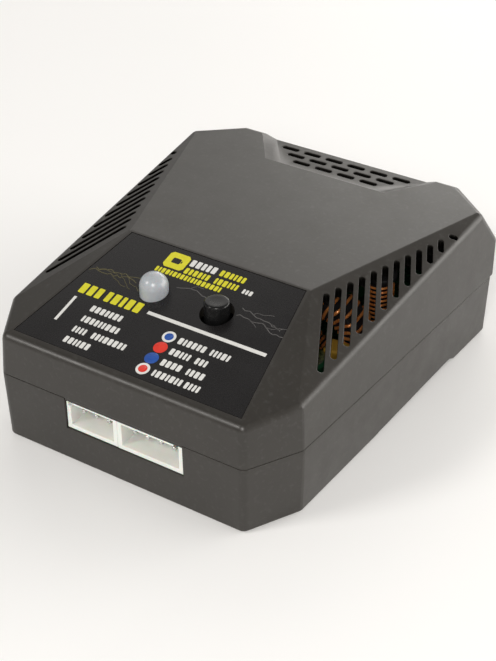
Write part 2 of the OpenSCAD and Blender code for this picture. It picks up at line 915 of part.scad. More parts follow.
// Line filter choke: a rod core standing on end, wound between its flanges
module line_choke_core() {
    color([0.18, 0.18, 0.19])
        translate([choke_at[0], choke_at[1], board_top]) {
            cylinder(h = 0.8, r = 2.8);
            cylinder(h = choke_h, r = 1.5);
            translate([0, 0, choke_h - 0.8])
                cylinder(h = 0.8, r = 2.8);
        }
}

module line_choke_winding() {
    color([0.72, 0.35, 0.14])
        translate([choke_at[0], choke_at[1], board_top + 0.8])
            difference() {
                cylinder(h = choke_h - 1.6, r = 2.5);
                translate([0, 0, -1])
                    cylinder(h = 20, r = 1.5);
            }
}

module bridge_legs() {
    for (i = [0:1])
        translate([-17.5, 2.8 + i * 3, board_z - 0.8])
            cube([0.6, 0.8, 4]);
}

module bridge_rectifier() {
    color([0.09, 0.09, 0.09])
        translate([-19, 2.2, board_top + 1.5])
            cube([3.6, 5, 10]);
    color([0.72, 0.72, 0.70]) bridge_legs();
}

// Cartridge fuse with two end caps, lying on the board
module fuse() {
    color([0.62, 0.60, 0.52])
        translate([-9.6, 18.2, board_top + 1.9])
            rotate([0, 90, 0]) {
                cylinder(h = 2.2, r = 1.9);
                cylinder(h = 10, r = 1.7);
                translate([0, 0, 7.8])
                    cylinder(h = 2.2, r = 1.9);
            }
}

module disc_legs() {
    for (x = [7.4, 11.5])
        translate([x, 18.5, board_z - 0.8])
            cube([0.5, 0.6, 4.6]);
}

module inrush_disc() {
    color([0.12, 0.30, 0.16])
        translate([9.7, 18.8, board_top + 5.4])
            rotate([90, 0, 0])
                cylinder(h = 3, r = 4.4, center = true);
    color([0.72, 0.72, 0.70]) disc_legs();
}

// Plate heatsink with three fins behind it
module heatsink() {
    color([0.62, 0.63, 0.64])
        translate([-24.6, -15, board_top]) {
            cube([1.6, 16, 13]);
            for (y = [0, 7.25, 14.5])
                translate([-0.9, y, 0])
                    cube([1, 1.5, 11]);
        }
}

module transistor_legs() {
    for (i = [0:2])
        translate([-20.2, -10.1 + i * 2.54, board_z - 0.8])
            cube([0.5, 0.8, board_t + 4.6]);
}

module power_transistor() {
    color([0.08, 0.08, 0.08])
        translate([-23, -12.2, board_top + 3.5])
            cube([4.2, 10, 8.6]);
    color([0.72, 0.72, 0.70]) transistor_legs();
}

module controller_chip() {
    color([0.07, 0.07, 0.07])
        translate([-17, -24.5, board_top + 0.1])
            cube([7.5, 4, 1.5]);
    color([0.72, 0.72, 0.70])
        for (i = [0:5], y = [-25.3, -20.5])
            translate([-16.7 + i * 1.27, y, board_top])
                cube([0.45, 0.8, 0.5]);
}

module balance_chips() {
    for (x = [-14.5, -7, 0.5]) {
        color([0.07, 0.07, 0.07])
            translate([x, -12.5, board_top + 0.1])
                cube([5, 4, 1.5]);
        color([0.72, 0.72, 0.70])
            for (i = [0:3], y = [-13.3, -8.5])
                translate([x + 0.4 + i * 1.27, y, board_top])
                    cube([0.4, 0.8, 0.5]);
    }
}

module bleed_resistors() {
    color([0.10, 0.10, 0.10])
        for (i = [0:3])
            translate([-15 + i * 7, -6.6, board_top])
                cube([5.6, 2.6, 0.7]);
}

// Case screws from below, heads up inside their wells
module case_screws() {
    color([0.45, 0.45, 0.46])
        at_screws()
            difference() {
                union() {
                    translate([0, 0, 3.2])
                        cylinder(h = 1.8, r = 2.4);
                    translate([0, 0, 4.9])
                        cylinder(h = 12.6, r = 1.25);
                }
                for (a = [0, 90])
                    rotate(a)
                        translate([-1.6, -0.3, 3.1])
                            cube([3.2, 0.6, 1]);
            }
}

base_shell();
top_shell();
status_panel();
print_white();
print_yellow();
print_red();
print_blue();
status_led();
led_leads();
socket_3way();
socket_4way();
contacts_3way();
contacts_4way();
button_cap();
switch_plunger();
switch_body();
switch_cover();
switch_legs();
inlet_body();
inlet_pins();
circuit_board();
transformer_core();
transformer_bobbin();
transformer_tape();
transformer_pins();
ring_core();
ring_winding();
ring_base();
bulk_capacitor();
output_capacitors();
film_capacitor();
line_choke_core();
line_choke_winding();
bridge_rectifier();
fuse();
inrush_disc();
heatsink();
power_transistor();
controller_chip();
balance_chips();
bleed_resistors();
case_screws();
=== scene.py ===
import json
import math
import random

import bmesh
import bpy
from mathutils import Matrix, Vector

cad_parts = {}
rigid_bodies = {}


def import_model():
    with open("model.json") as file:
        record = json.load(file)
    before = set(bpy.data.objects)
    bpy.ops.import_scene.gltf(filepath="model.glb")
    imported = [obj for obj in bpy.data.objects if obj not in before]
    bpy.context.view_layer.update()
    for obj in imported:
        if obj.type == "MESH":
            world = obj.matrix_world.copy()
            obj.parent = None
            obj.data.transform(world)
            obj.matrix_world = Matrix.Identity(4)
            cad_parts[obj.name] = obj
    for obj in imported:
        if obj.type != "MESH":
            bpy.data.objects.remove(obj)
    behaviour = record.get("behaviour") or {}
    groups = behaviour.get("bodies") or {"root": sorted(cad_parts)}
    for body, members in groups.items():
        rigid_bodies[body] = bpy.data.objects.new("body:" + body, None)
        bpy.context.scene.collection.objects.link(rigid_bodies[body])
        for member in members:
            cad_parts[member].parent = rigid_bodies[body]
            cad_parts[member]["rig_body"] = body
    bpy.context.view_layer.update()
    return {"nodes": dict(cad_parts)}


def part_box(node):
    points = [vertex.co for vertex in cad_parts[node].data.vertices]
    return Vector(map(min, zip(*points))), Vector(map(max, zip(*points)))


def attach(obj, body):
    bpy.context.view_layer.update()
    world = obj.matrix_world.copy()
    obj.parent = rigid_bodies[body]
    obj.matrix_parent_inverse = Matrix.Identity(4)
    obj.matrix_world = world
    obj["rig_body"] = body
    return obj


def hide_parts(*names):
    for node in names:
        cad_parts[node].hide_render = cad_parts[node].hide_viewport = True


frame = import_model()
nodes = frame["nodes"]
MM = 0.001


# ---------------------------------------------------------------- materials

def new_material(name):
    """A node material with its node tree and its Principled shader."""
    mat = bpy.data.materials.new(name)
    mat.use_nodes = True
    tree = mat.node_tree
    shader = tree.nodes["Principled BSDF"]
    return mat, tree, shader


def add(tree, kind, inputs=(), **props):
    """A new node: inputs are values or other nodes' outputs, props are its settings."""
    node = tree.nodes.new(kind)
    for key, value in props.items():
        setattr(node, key, value)
    for key, value in dict(inputs).items():
        if hasattr(value, "is_output"):
            tree.links.new(value, node.inputs[key])
        else:
            node.inputs[key].default_value = value
    return node


def place(tree):
    """Coordinates in the object's own frame, in metres."""
    return add(tree, "ShaderNodeTexCoord").outputs["Object"]


def noise(tree, scale, detail=2.0, rough=0.5):
    """Procedural noise in the object's frame; a scale of 1000 is about 1 mm a cell."""
    node = add(tree, "ShaderNodeTexNoise", {"Scale": scale, "Detail": detail, "Roughness": rough})
    tree.links.new(place(tree), node.inputs["Vector"])
    return node.outputs["Fac"]


def spread(tree, value, low, high, a=0.3, b=0.7):
    """Maps a value from the range a to b onto the range low to high, clamped."""
    node = add(tree, "ShaderNodeMapRange", {"Value": value, "From Min": a, "From Max": b,
                                            "To Min": low, "To Max": high})
    return node.outputs["Result"]


def blend_colour(tree, factor, one, two):
    """Mixes two colours, each a value or a node's output, by a factor."""
    node = add(tree, "ShaderNodeMix", data_type="RGBA")
    for index, value in ((0, factor), (6, one), (7, two)):
        if hasattr(value, "is_output"):
            tree.links.new(value, node.inputs[index])
        else:
            node.inputs[index].default_value = value
    return node.outputs[2]


def rgb(r, g, b):
    """A linear colour with full alpha."""
    return (r, g, b, 1.0)


def surface(name, one, two, rough=(0.4, 0.5), patch=90.0, grain=2500.0, depth=0.00001,
            metallic=0.0, strength=0.35, **sockets):
    """A moulded, printed or metal finish: slow colour and gloss drift with a fine grain."""
    mat, tree, shader = new_material(name)
    drift = noise(tree, patch, 4.0, 0.6)
    tree.links.new(blend_colour(tree, spread(tree, drift, 0.0, 1.0), rgb(*one), rgb(*two)),
                   shader.inputs["Base Color"])
    fine = noise(tree, grain, 3.0, 0.55)
    level = add(tree, "ShaderNodeMath", {0: spread(tree, drift, rough[0], rough[1]),
                                         1: spread(tree, fine, -0.03, 0.03)}, operation="ADD")
    tree.links.new(level.outputs[0], shader.inputs["Roughness"])
    bump = add(tree, "ShaderNodeBump", {"Strength": strength, "Distance": depth, "Height": fine})
    tree.links.new(bump.outputs["Normal"], shader.inputs["Normal"])
    shader.inputs["Metallic"].default_value = metallic
    for key, value in sockets.items():
        shader.inputs[key.replace("_", " ")].default_value = value
    return mat


# Painted slot shade: how far its occlusion test reaches, and the occlusion values over which the painted
# shade fades from full to none
SLOT_REACH = 2.2 * MM
OPEN_FROM = 0.45
OPEN_TO = 0.88


def satin(name, one, two, rough):
    """Spark-eroded satin plastic of the case: faint flow marks, a little dust, and painted shade in its
    slots, near black and with less gloss.
    """
    mat, tree, shader = new_material(name)
    drift = noise(tree, 55.0, 5.0, 0.62)
    marks = noise(tree, 240.0, 4.0, 0.6)
    fine = noise(tree, 3600.0, 2.0, 0.5)
    speck = noise(tree, 1300.0, 2.0, 0.5)
    base = blend_colour(tree, spread(tree, drift, 0.0, 1.0), rgb(*one), rgb(*two))
    dust = blend_colour(tree, spread(tree, speck, 0.0, 0.16, 0.55, 0.8), base, rgb(0.12, 0.12, 0.115))
    # Painted shade: where ambient occlusion finds close walls, as in the slots, the colour goes to near
    # black and the gloss is turned down
    painted_shade_ao = add(tree, "ShaderNodeAmbientOcclusion", {"Distance": SLOT_REACH}, samples=8,
               only_local=True)
    clear = spread(tree, painted_shade_ao.outputs["AO"], 0.0, 1.0, OPEN_FROM, OPEN_TO)
    tree.links.new(blend_colour(tree, clear, rgb(0.0015, 0.0014, 0.0013), dust),
                   shader.inputs["Base Color"])
    painted_shade_gloss = spread(tree, painted_shade_ao.outputs["AO"], 0.0, 0.5, OPEN_FROM, OPEN_TO)
    tree.links.new(painted_shade_gloss, shader.inputs["Specular IOR Level"])
    level = add(tree, "ShaderNodeMath", {0: spread(tree, drift, rough[0], rough[1]),
                                         1: spread(tree, marks, -0.04, 0.04)}, operation="ADD")
    tree.links.new(level.outputs[0], shader.inputs["Roughness"])
    grain = add(tree, "ShaderNodeMath", {0: fine, 1: spread(tree, marks, 0.0, 0.5)}, operation="ADD")
    bump = add(tree, "ShaderNodeBump", {"Strength": 0.3, "Distance": 0.000012,
                                        "Height": grain.outputs[0]})
    tree.links.new(bump.outputs["Normal"], shader.inputs["Normal"])
    return mat


def striped(name, one, two, axis, scale, rough, depth):
    """Wound tape whose turns show as fine bands."""
    mat, tree, shader = new_material(name)
    wave = add(tree, "ShaderNodeTexWave", {"Scale": scale, "Distortion": 0.6, "Detail": 2.0},
               bands_direction=axis)
    tree.links.new(place(tree), wave.inputs["Vector"])
    drift = noise(tree, 300.0, 3.0)
    mixed = add(tree, "ShaderNodeMath", {0: wave.outputs["Fac"], 1: drift}, operation="MULTIPLY")
    tree.links.new(blend_colour(tree, mixed.outputs[0], rgb(*one), rgb(*two)),
                   shader.inputs["Base Color"])
    tree.links.new(spread(tree, drift, rough[0], rough[1]), shader.inputs["Roughness"])
    bump = add(tree, "ShaderNodeBump", {"Strength": 0.5, "Distance": depth,
                                        "Height": wave.outputs["Fac"]})
    tree.links.new(bump.outputs["Normal"], shader.inputs["Normal"])
    return mat


def solder_mask(name):
    """Green lacquered board with the ridges of copper tracks under the lacquer."""
    mat, tree, shader = new_material(name)
    cells = add(tree, "ShaderNodeTexVoronoi", {"Scale": 260.0}, distance="CHEBYCHEV")
    tree.links.new(place(tree), cells.inputs["Vector"])
    tracks = spread(tree, cells.outputs["Distance"], 0.0, 1.0, 0.32, 0.36)
    tree.links.new(blend_colour(tree, tracks, rgb(0.006, 0.036, 0.014), rgb(0.010, 0.062, 0.024)),
                   shader.inputs["Base Color"])
    fine = noise(tree, 1400.0, 2.0)
    tree.links.new(spread(tree, fine, 0.22, 0.36), shader.inputs["Roughness"])
    bump = add(tree, "ShaderNodeBump", {"Strength": 0.5, "Distance": 0.00003, "Height": tracks})
    tree.links.new(bump.outputs["Normal"], shader.inputs["Normal"])
    return mat


def sleeved_can(name, one, two, lid, metal):
    """Shrink sleeve on a capacitor can, with a bare or coated top."""
    mat, tree, shader = new_material(name)
    normal = add(tree, "ShaderNodeNewGeometry").outputs["Normal"]
    up = add(tree, "ShaderNodeSeparateXYZ", {"Vector": normal}).outputs["Z"]
    top = spread(tree, up, 0.0, 1.0, 0.9, 0.95)
    drift = noise(tree, 420.0, 3.0)
    sleeve = blend_colour(tree, spread(tree, drift, 0.0, 1.0), rgb(*one), rgb(*two))
    speck = blend_colour(tree, spread(tree, noise(tree, 1500.0, 2.0), 0.0, 1.0, 0.45, 0.55),
                         rgb(*(0.3 * c for c in lid)), rgb(*lid))
    tree.links.new(blend_colour(tree, top, sleeve, speck), shader.inputs["Base Color"])
    bare = add(tree, "ShaderNodeMath", {0: top, 1: metal}, operation="MULTIPLY")
    tree.links.new(bare.outputs[0], shader.inputs["Metallic"])
    tree.links.new(spread(tree, drift, 0.24, 0.36), shader.inputs["Roughness"])
    bump = add(tree, "ShaderNodeBump", {"Strength": 0.3, "Distance": 0.00003, "Height": drift})
    tree.links.new(bump.outputs["Normal"], shader.inputs["Normal"])
    return mat


MATERIALS = {
    "case_plastic": satin("case satin", (0.022, 0.0195, 0.0165), (0.029, 0.026, 0.022), (0.34, 0.42)),
    "panel_film": surface("panel film", (0.0075, 0.0068, 0.0072), (0.0105, 0.0096, 0.01), (0.24, 0.31),
                          70.0, 3200.0, 0.000004, Specular_IOR_Level=0.4),
    "print_white": surface("white ink", (0.66, 0.66, 0.64), (0.74, 0.74, 0.72), (0.4, 0.5), 900.0),
    "print_yellow": surface("yellow ink", (0.60, 0.56, 0.012), (0.68, 0.64, 0.02), (0.4, 0.5), 900.0),
    "print_red": surface("red ink", (0.62, 0.022, 0.010), (0.70, 0.035, 0.016), (0.4, 0.5), 900.0),
    "print_blue": surface("blue ink", (0.008, 0.060, 0.30), (0.012, 0.080, 0.36), (0.4, 0.5), 900.0),
    "led_lens": surface("diffusing lens", (0.36, 0.385, 0.415), (0.40, 0.425, 0.455), (0.26, 0.32), 500.0,
                        4000.0, 0.000002, Subsurface_Weight=0.1, Subsurface_Scale=0.001,
                        Coat_Weight=0.15, Coat_Roughness=0.12),
    "tinned_metal": surface("tinned metal", (0.60, 0.60, 0.58), (0.72, 0.72, 0.70), (0.2, 0.34), 700.0,
                            3500.0, 0.000004, 1.0),
    "socket_nylon": surface("natural nylon", (0.74, 0.74, 0.70), (0.80, 0.80, 0.76), (0.38, 0.5),
                            350.0, 3000.0, 0.000008, Subsurface_Weight=0.3, Subsurface_Scale=0.0015),
    "button_plastic": surface("button plastic", (0.004, 0.004, 0.0042), (0.007, 0.007, 0.0072),
                              (0.2, 0.28), 500.0, 3500.0, 0.000008, Specular_IOR_Level=0.3),
    "black_plastic": surface("black plastic", (0.011, 0.011, 0.0115), (0.017, 0.017, 0.0175),
                             (0.3, 0.42), 200.0, 3000.0, 0.00001),
    "steel": surface("zinc-plated steel", (0.42, 0.42, 0.43), (0.55, 0.55, 0.56), (0.25, 0.4), 800.0,
                     2600.0, 0.000006, 1.0),
    "board": solder_mask("green board"),
    "ferrite": surface("ferrite", (0.006, 0.006, 0.0065), (0.011, 0.011, 0.012), (0.5, 0.62), 500.0,
                       2200.0, 0.00003),
    "tape": striped("polyester tape", (0.55, 0.36, 0.03), (0.80, 0.60, 0.08), "Z", 120.0,
                    (0.22, 0.34), 0.00004),
    "copper": surface("enamelled copper", (0.85, 0.27, 0.07), (0.95, 0.38, 0.11), (0.24, 0.36), 800.0,
                      2600.0, 0.000004, 0.45, Coat_Weight=0.5, Coat_Roughness=0.12),
    "sleeve_dark": sleeved_can("dark sleeve", (0.012, 0.011, 0.04), (0.02, 0.018, 0.055),
                               (0.45, 0.46, 0.47), 1.0),
    "sleeve_green": sleeved_can("green sleeve", (0.008, 0.05, 0.02), (0.012, 0.07, 0.03),
                                (0.085, 0.10, 0.03), 0.0),
    "film_yellow": surface("yellow epoxy box", (0.40, 0.22, 0.025), (0.50, 0.29, 0.04), (0.3, 0.42),
                           300.0, 2400.0, 0.00002),
    "chip": surface("moulded epoxy", (0.014, 0.014, 0.014), (0.022, 0.022, 0.021), (0.5, 0.62), 600.0,
                    4200.0, 0.00002),
    "ceramic": surface("ceramic and glass", (0.42, 0.40, 0.33), (0.55, 0.53, 0.45), (0.2, 0.34),
                       500.0, 2600.0, 0.000005, Coat_Weight=0.3),
    "disc_green": surface("dipped disc", (0.012, 0.08, 0.025), (0.02, 0.12, 0.04), (0.28, 0.4), 420.0,
                          2400.0, 0.00003),
    "aluminium": surface("rolled aluminium", (0.58, 0.59, 0.60), (0.68, 0.69, 0.70), (0.3, 0.42),
                         300.0, 2800.0, 0.000008, 1.0),
}


def slot_of(node):
    """The record's material slot of a CAD node."""
    name = nodes[node].material_slots[0].material.name.split(".")[0]
    return name


def paint(obj, slot):
    """Gives a piece its slot's material."""
    obj.data.materials.clear()
    obj.data.materials.append(MATERIALS[slot])


# ---------------------------------------------------------------- mesh tools

def shade(mesh, angle):
    """Smooth shading, with sharp edges over an angle in degrees."""
    for polygon in mesh.polygons:
        polygon.use_smooth = True
    mesh.set_sharp_from_angle(angle=math.radians(angle))


WELD = 0.002 * MM
FLAT = math.radians(0.4)


def piece(name, bm, body, slot, *replaced, angle=32.0):
    """A finished piece from a bmesh: outward faces, shading, place in the frame."""
    bmesh.ops.recalc_face_normals(bm, faces=bm.faces)
    mesh = bpy.data.meshes.new(name)
    bm.to_mesh(mesh)
    bm.free()
    shade(mesh, angle)
    obj = bpy.data.objects.new(name, mesh)
    bpy.context.scene.collection.objects.link(obj)
    paint(obj, slot)
    even = obj.modifiers.new("even", "WEIGHTED_NORMAL")
    even.mode = "FACE_AREA"
    even.weight = 50
    even.keep_sharp = True
    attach(obj, body)
    if replaced:
        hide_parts(*replaced)
    return obj


def from_node(node):
    """A CAD node's mesh with its split vertices joined."""
    bm = bmesh.new()
    bm.from_mesh(nodes[node].data)
    bmesh.ops.remove_doubles(bm, verts=bm.verts, dist=WELD)
    return bm


def refined(node, name, slot, width, angle=40.0, steps=2, body="case"):
    """A CAD node's own form with its hard edges eased by a small radius."""
    bm = from_node(node)
    bmesh.ops.dissolve_limit(bm, angle_limit=FLAT, verts=bm.verts, edges=bm.edges)
    sharp = [e for e in bm.edges
             if len(e.link_faces) == 2 and e.calc_face_angle(0.0) > math.radians(angle)]
    bmesh.ops.bevel(bm, geom=sharp, offset=width * MM, segments=steps, profile=0.5,
                    affect="EDGES", clamp_overlap=True)
    return piece(name, bm, body, slot, node)


def revolved(profile, centre, steps=64):
    """A closed turned form about Z from (radius, height) pairs in millimetres."""
    bm = bmesh.new()
    rings = []
    for r, z in profile:
        if r < 1e-6:
            rings.append([bm.verts.new((centre[0], centre[1], z * MM))])
            continue
        rings.append([bm.verts.new((centre[0] + r * MM * math.cos(2 * math.pi * i / steps),
                                    centre[1] + r * MM * math.sin(2 * math.pi * i / steps), z * MM))
                      for i in range(steps)])
    for low, high in zip(rings, rings[1:]):
        for i in range(steps):
            j = (i + 1) % steps
            corners = [low[i % len(low)], low[j % len(low)], high[j % len(high)], high[i % len(high)]]
            bm.faces.new(list(dict.fromkeys(corners)))
    return bm


def wire(path, radius, sides=8):
    """A round wire along a list of points in metres, with closed ends."""
    bm = bmesh.new()
    rings = []
    side = None
    for i, point in enumerate(path):
        along = (path[min(i + 1, len(path) - 1)] - path[max(i - 1, 0)]).normalized()
        if side is None:
            side = along.orthogonal().normalized()
        side = (side - along * side.dot(along)).normalized()
        up = along.cross(side)
        rings.append([bm.verts.new(point + radius * (side * math.cos(2 * math.pi * k / sides)
                                                     + up * math.sin(2 * math.pi * k / sides)))
                      for k in range(sides)])
    for low, high in zip(rings, rings[1:]):
        for k in range(sides):
            j = (k + 1) % sides
            bm.faces.new((low[k], low[j], high[j], high[k]))
    bm.faces.new(rings[0])
    bm.faces.new(rings[-1])
    return bm


# ---------------------------------------------------------------- shells

def panel_frame():
    """Origin at the middle of the panel's lower edge, the slope direction and its normal."""
    mesh = nodes["status_panel"].data
    face = max((p for p in mesh.polygons if p.normal.z > 0.5), key=lambda p: p.area)
    normal = face.normal.copy()
    along = Vector((0, 0, 1)).cross(normal).cross(normal).normalized()
    along = -along if along.z < 0 else along
    base = mesh.vertices[face.vertices[0]].co
    tops = [v.co for v in mesh.vertices if abs((v.co - base).dot(normal)) < 1e-6]
    low = min(t.dot(along) for t in tops)
    origin = base + along * (low - base.dot(along))
    origin.x = 0.0
    return origin, along, normal


ORIGIN, SLOPE, NORMAL = panel_frame()
KEEN = 0.04


def edge_kind(edge):
    """Which radius a convex edge of a shell takes, if any; the film's recess keeps its own."""
    if len(edge.link_faces) != 2 or not edge.is_convex:
        return None
    turn = math.degrees(edge.calc_face_angle(0.0))
    sides = [face.normal for face in edge.link_faces]
    if 85.0 < turn < 95.0 and any(n.dot(NORMAL) > 0.9995 for n in sides):
        return None
    upright = any(abs(n.x) > 0.95 for n in sides)
    if turn > 35.0 and upright and any(0.2 < n.z < 0.9 for n in sides):
        return "keen"
    run = edge.verts[0].co - edge.verts[1].co
    if 14.0 < turn < 50.0 and run.length > 3.0 * MM and abs(run.z) < 0.7 * run.length:
        return "crease"
    return "rim" if turn > 42.0 else None


def shell(node, name, rim, crease):
    """A shell's own form with small radii on its rims and creases, in millimetres."""
    bm = bmesh.new()
    bm.from_mesh(nodes[node].data)
    bmesh.ops.remove_doubles(bm, verts=bm.verts, dist=0.015 * MM)
    bmesh.ops.dissolve_degenerate(bm, dist=0.01 * MM, edges=bm.edges)
    bmesh.ops.dissolve_limit(bm, angle_limit=FLAT, verts=bm.verts, edges=bm.edges)
    for kind, width in (("crease", crease), ("rim", rim), ("keen", KEEN)):
        bmesh.ops.bevel(bm, geom=[e for e in bm.edges if edge_kind(e) == kind], offset=width * MM,
                        segments=2, profile=0.5, affect="EDGES", clamp_overlap=False)
    return piece(name, bm, "case", "case_plastic", node, angle=24.0)


shell("top_shell", "upper_shell", 0.13, 0.1)
shell("base_shell", "lower_shell", 0.13, 0.13)


# ---------------------------------------------------------------- front panel print

# Thickness of the print, of the dark marks on it and of the faint lines under it, in millimetres
INK = 0.05
MARK = 0.01
FAINT = 0.02


def islands(bm):
    """The separate closed solids of a mesh in vertex order, each as a list of vertices."""
    seen, found = set(), []
    for first in bm.verts:
        if first in seen:
            continue
        seen.add(first)
        group = [first]
        for vert in group:
            for edge in vert.link_edges:
                other = edge.other_vert(vert)
                if other not in seen:
                    seen.add(other)
                    group.append(other)
        found.append(group)
    return found


def on_slope(x, s, h):
    """A point on the panel in metres: x across, s up the slope, h off it, in millimetres."""
    return Vector((x * MM, 0, 0)) + ORIGIN + SLOPE * (s * MM) + NORMAL * (h * MM)


def extent(group):
    """Limits of some vertices across the panel and up its slope, in millimetres."""
    xs = [v.co.x / MM for v in group]
    ss = [(v.co - ORIGIN).dot(SLOPE) / MM for v in group]
    return min(xs), max(xs), min(ss), max(ss)


def block(bm, x0, x1, s0, s1, cut=0.12, low=0.0, high=INK):
    """One printed block with clipped corners."""
    c = min(cut, (x1 - x0) * 0.3, (s1 - s0) * 0.3)
    outline = [(x0 + c, s0), (x1 - c, s0), (x1, s0 + c), (x1, s1 - c),
               (x1 - c, s1), (x0 + c, s1), (x0, s1 - c), (x0, s0 + c)]
    low = [bm.verts.new(on_slope(x, s, low)) for x, s in outline]
    high = [bm.verts.new(on_slope(x, s, high)) for x, s in outline]
    bm.faces.new(low[::-1])
    bm.faces.new(high)
    for i in range(8):
        j = (i + 1) % 8
        bm.faces.new((low[i], low[j], high[j], high[i]))


def characters(bm, dice, x0, x1, s0, s1, **lift):
    """A word's row of plain blocks, with no letter forms."""
    tall = s1 - s0
    x = x0
    while x < x1 - 0.3 * tall:
        end = min(x + tall * dice.choice((0.32, 0.42, 0.5, 0.54)), x1)
        block(bm, x, end, s0, s1, **lift)
        x = end + 0.2 * tall


dark_marks = bmesh.new()


def print_piece(node, slot, seed):
    """Words become rows of plain blocks; rules, dots and rings stay as they are."""
    dice = random.Random(seed)
    bm = from_node(node)
    for group in islands(bm):
        x0, x1, s0, s1 = extent(group)
        tall, wide = s1 - s0, x1 - x0
        if tall > 3.0 and wide > 3.0:
            # Symbol: a plain cell with a terminal, dark on a coloured tile
            bmesh.ops.delete(bm, geom=group, context="VERTS")
            block(bm, x0, x1, s0, s1, 0.5)
            block(dark_marks, x0 + 0.28 * wide, x0 + 0.68 * wide,
                  s0 + 0.33 * tall, s0 + 0.67 * tall, 0.15, INK, INK + MARK)
            block(dark_marks, x0 + 0.70 * wide, x0 + 0.76 * wide,
                  s0 + 0.43 * tall, s0 + 0.57 * tall, 0.05, INK, INK + MARK)
        elif s0 > 22.0 and tall < 1.35 and wide > 8.0 and s1 < 24.0:
            # Coloured strip with dark characters on it
            characters(dark_marks, dice, x0 + 0.4, x1 - 0.3, s0 + 0.3, s1 - 0.3,
                       cut=0.05, low=INK, high=INK + MARK)
        elif 0.95 < tall < 2.6 and wide > 1.25 * tall and len(group) <= 8:
            bmesh.ops.delete(bm, geom=group, context="VERTS")
            characters(bm, dice, x0, x1, s0, s1)
    return piece(node.replace("print_", "ink_"), bm, "case", slot, node)


for index, colour in enumerate(("white", "yellow", "red", "blue")):
    print_piece("print_" + colour, "print_" + colour, 11 + index)
piece("ink_dark", dark_marks, "case", "panel_film")


def spark(bm, dice, x, s, end, width, drift):
    """A thin jagged line of faint ink that wanders along the panel."""
    points = [(x, s)]
    while points[-1][0] < end:
        x, s = points[-1]
        points.append((x + dice.uniform(0.35, 0.9), s + drift + dice.uniform(-0.42, 0.42)))
    for (xa, sa), (xb, sb) in zip(points, points[1:]):
        long = math.hypot(xb - xa, sb - sa)
        dx, ds = -(sb - sa) / long * width / 2, (xb - xa) / long * width / 2
        ring = [(xa + dx, sa + ds), (xa - dx, sa - ds), (xb - dx, sb - ds), (xb + dx, sb + ds)]
        low = [bm.verts.new(on_slope(x, s, 0.0)) for x, s in ring]
        high = [bm.verts.new(on_slope(x, s, FAINT)) for x, s in ring]
        bm.faces.new(low)
        bm.faces.new(high[::-1])
        for i in range(4):
            bm.faces.new((low[i], high[i], high[(i + 1) % 4], low[(i + 1) % 4]))
    return points


def sparks(name, seed, starts, tint):
    """A few faint branching lines behind the print."""
    dice = random.Random(seed)
    bm = bmesh.new()
    for x, s, end, drift in starts:
        points = spark(bm, dice, x, s, end, 0.13, drift)
        for at in points[3:-3:5]:
            spark(bm, dice, at[0], at[1], min(at[0] + dice.uniform(1.5, 3.5), end), 0.08,
                  dice.choice((-0.3, 0.28)))
    MATERIALS[name] = surface(name, tint, tuple(1.25 * c for c in tint), (0.4, 0.5), 900.0)
    obj = piece(name.replace(" ", "_"), bm, "case", "panel_film")
    obj.data.materials.clear()
    obj.data.materials.append(MATERIALS[name])


# Each line's start across and up the panel, its end across and its drift at each step
sparks("faint grey ink", 5,
       ((-2.6, 18.9, 3.0, -0.06), (9.6, 17.6, 18.2, -0.05), (9.6, 19.4, 17.6, -0.03)),
       (0.085, 0.081, 0.080))
sparks("faint yellow ink", 8, ((-18.4, 16.4, -8.6, 0.05), (-17.6, 17.4, -9.4, -0.03)),
       (0.085, 0.074, 0.030))


# ---------------------------------------------------------------- light and button

def turned_between(node):
    """A turned CAD node's middle in metres, and its radius and heights in millimetres."""
    low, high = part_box(node)
    return (low + high) / 2, (high.x - low.x) / 2 / MM, low.z / MM, high.z / MM


def status_light():
    """A flanged lens with a half-round dome."""
    middle, r_flange, z_low, z_high = turned_between("status_led")
    r_lens = r_flange - 0.4
    steps = 14
    dome = [(r_lens * math.cos(a * math.pi / 2 / steps),
             z_high - r_lens + r_lens * math.sin(a * math.pi / 2 / steps)) for a in range(steps)]
    flange = [(0.0, z_low), (r_flange - 0.1, z_low), (r_flange, z_low + 0.1),
              (r_flange, z_low + 0.9), (r_flange - 0.1, z_low + 1.0), (r_lens, z_low + 1.0)]
    profile = flange + dome + [(0.0, z_high)]
    piece("led_dome", revolved(profile, middle), "case", "led_lens", "status_led")


def button():
    """A cap with a rounded rim, a slightly dished top and a blind bore for the plunger."""
    middle, r_cap, z_low, z_high = turned_between("button_cap")
    r_bore, z_bore = 1.62, 20.0
    bore = [(0.0, z_bore), (r_bore, z_bore), (r_bore, z_low)]
    rim = [(r_cap, z_low), (r_cap, z_high - 0.42), (r_cap - 0.06, z_high - 0.2),
           (r_cap - 0.2, z_high - 0.06), (r_cap - 0.42, z_high)]
    dish = [(r_cap * 0.55, z_high - 0.07), (r_cap * 0.25, z_high - 0.11), (0.0, z_high - 0.12)]
    piece("button_key", revolved(bore + rim + dish, middle), "button", "button_plastic",
          "button_cap")


status_light()
button()


# ---------------------------------------------------------------- sockets and inlet

for ways in ("3way", "4way"):
    refined("socket_" + ways, "balance_socket_" + ways, "socket_nylon", 0.12, 40.0)
    refined("contacts_" + ways, "balance_pins_" + ways, "tinned_metal", 0.12, 40.0)
refined("inlet_body", "mains_inlet", "black_plastic", 0.25, 50.0, 3)
refined("inlet_pins", "mains_pins", "tinned_metal", 0.3, 60.0, 3)


# ---------------------------------------------------------------- windings

